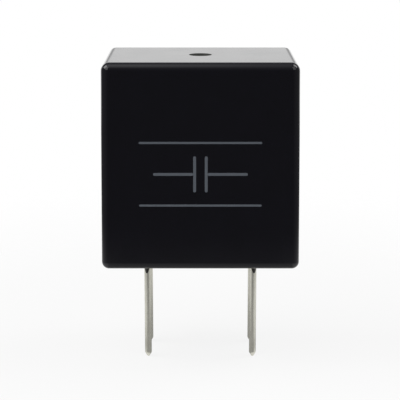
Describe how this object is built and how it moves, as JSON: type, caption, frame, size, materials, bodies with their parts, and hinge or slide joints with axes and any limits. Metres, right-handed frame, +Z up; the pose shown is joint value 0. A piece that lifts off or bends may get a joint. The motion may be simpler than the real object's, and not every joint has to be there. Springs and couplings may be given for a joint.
{
  "type": "film capacitor",
  "caption": "Box film capacitor: black moulded case sealed underneath with resin, with round tinned wire leads that solder into a printed circuit board.",
  "frame": {"origin": "centre of the seating plane, where the rim of the case meets the board, midway between the leads", "axes": "+Z up from the board to the top of the case, -Y towards the front face, +X to the right seen from the front"},
  "size_m": [0.0414, 0.03, 0.0659],
  "materials": {
    "case_plastic": "black moulded thermoplastic, satin",
    "potting_resin": "cast epoxy, dark olive black",
    "metallised_film": "wound metallised film, silvery",
    "sprayed_zinc": "sprayed zinc, matt and grainy",
    "solder": "solder, dull bright",
    "tinned_wire": "drawn copper wire with a tin coat"
  },
  "bodies": {
    "root": {"case": "case_plastic", "potting_resin": "potting_resin", "film_element_front": "metallised_film", "film_element_rear": "metallised_film", "end_spray_front_left": "sprayed_zinc", "end_spray_front_right": "sprayed_zinc", "end_spray_rear_left": "sprayed_zinc", "end_spray_rear_right": "sprayed_zinc", "solder_front_left": "solder", "solder_front_right": "solder", "solder_rear_left": "solder", "solder_rear_right": "solder", "lead_front_left": "tinned_wire", "lead_front_right": "tinned_wire", "lead_rear_left": "tinned_wire", "lead_rear_right": "tinned_wire"}
  },
  "joints": []
}
